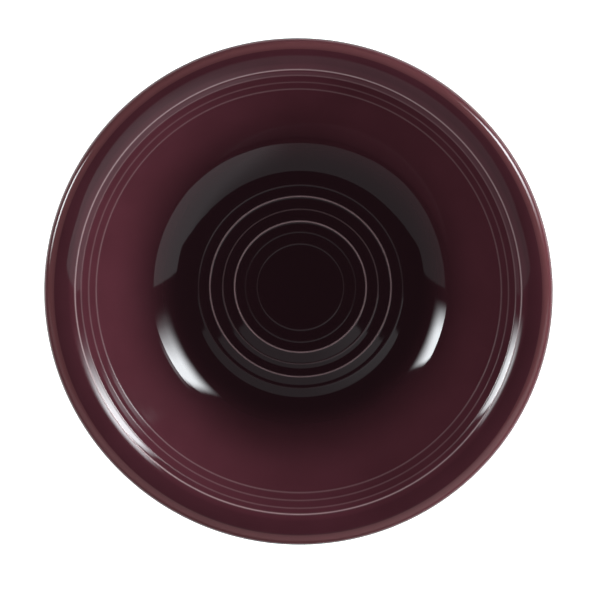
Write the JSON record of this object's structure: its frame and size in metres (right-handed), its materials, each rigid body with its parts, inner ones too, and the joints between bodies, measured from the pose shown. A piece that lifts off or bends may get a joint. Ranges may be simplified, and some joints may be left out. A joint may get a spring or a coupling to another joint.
{
  "type": "bowl",
  "caption": "Shallow round serving bowl of glazed vitrified stoneware, with a flared wall, a broad smooth lip, turned rings on the floor and inside the rim, and a bare foot ring",
  "frame": {"origin": "centre of the foot ring's contact face, at the bottom of the bowl", "axes": "+Z is the axis the bowl was turned about, pointing up out of its mouth; X and Y are any two directions across it, because it is round"},
  "size_m": [0.165, 0.165, 0.0312],
  "materials": {
    "clay": "matte",
    "glaze": "gloss"
  },
  "bodies": {
    "root": {"stoneware_body": "clay", "glaze_coat": "glaze", "base_glaze": "glaze"}
  },
  "joints": []
}
